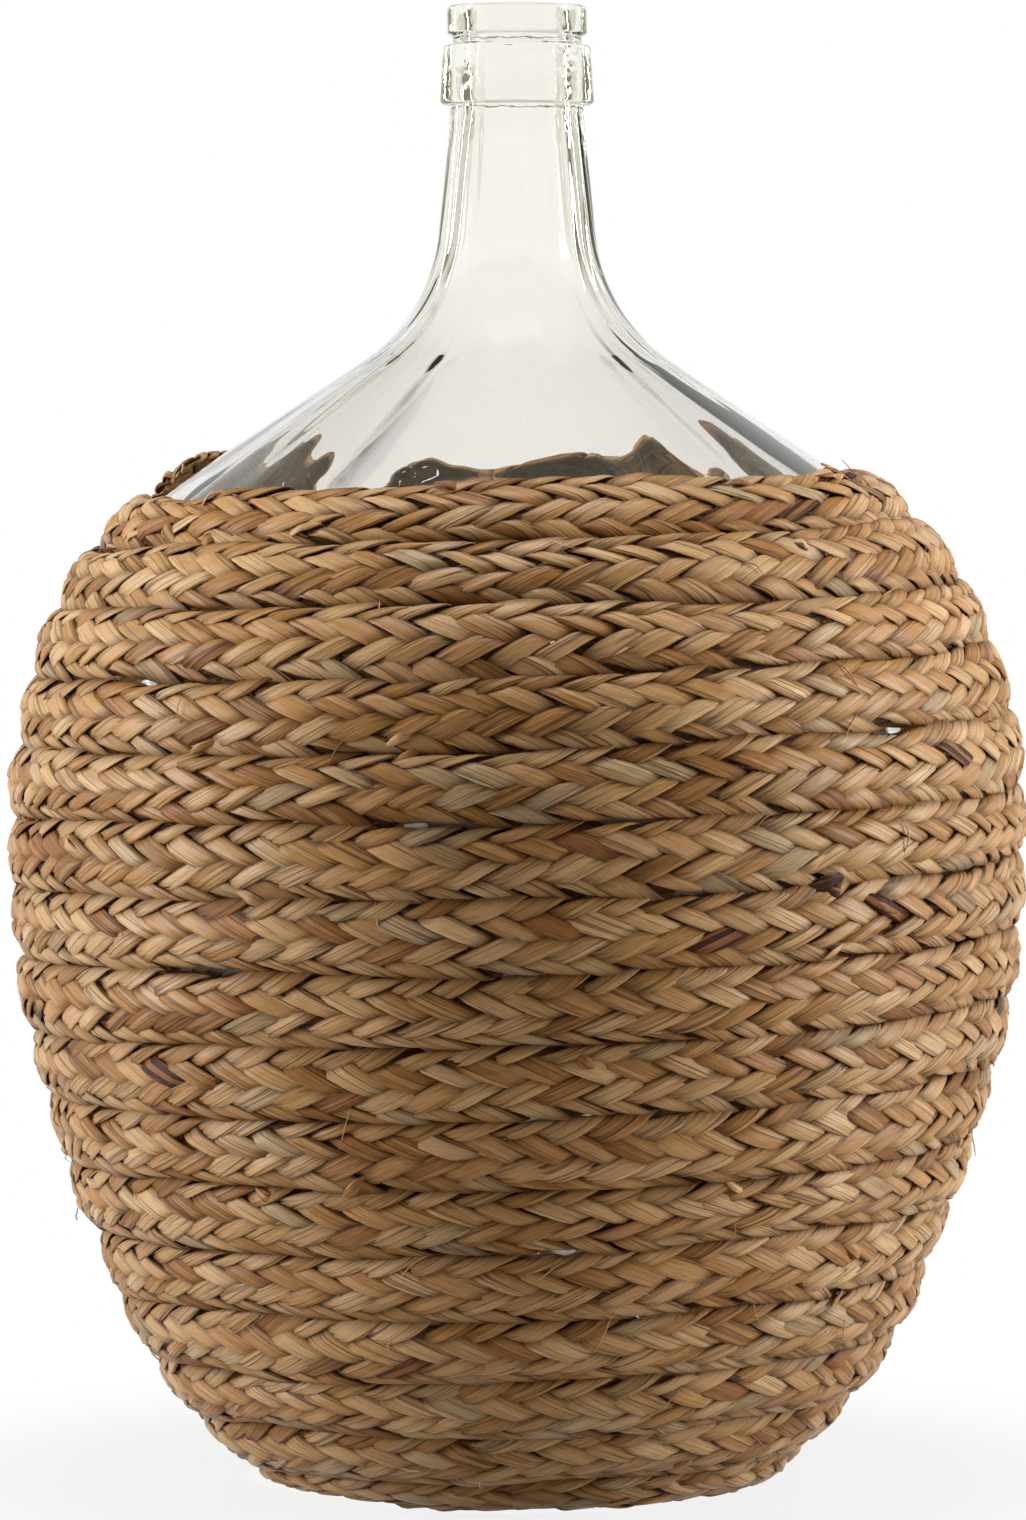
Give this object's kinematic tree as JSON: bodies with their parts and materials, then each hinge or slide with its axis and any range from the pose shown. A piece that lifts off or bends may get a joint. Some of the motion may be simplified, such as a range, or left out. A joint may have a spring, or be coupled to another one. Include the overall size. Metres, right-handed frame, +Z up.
{
  "type": "plait-wrapped glass demijohn bottle",
  "caption": "Large round-bellied clear glass bottle with a narrow collared neck, wound from heel to shoulder with a flat seagrass plait glued on in a spiral.",
  "frame": {"origin": "middle of the standing ring, on the surface that the bottle stands on", "axes": "+Z up through the mouth, -Y towards the side that the picture shows"},
  "size_m": [0.3858, 0.3856, 0.558],
  "materials": {
    "clear_glass": "clear blown glass, faintly green, slightly wavy",
    "seagrass": "dry plaited seagrass leaves, matte to satin, straw to brown",
    "hot_glue": "set clear glue, milky"
  },
  "bodies": {
    "root": {"glass_bottle": "clear_glass", "plaited_cord": "seagrass", "glue_dabs": "hot_glue"}
  },
  "joints": []
}
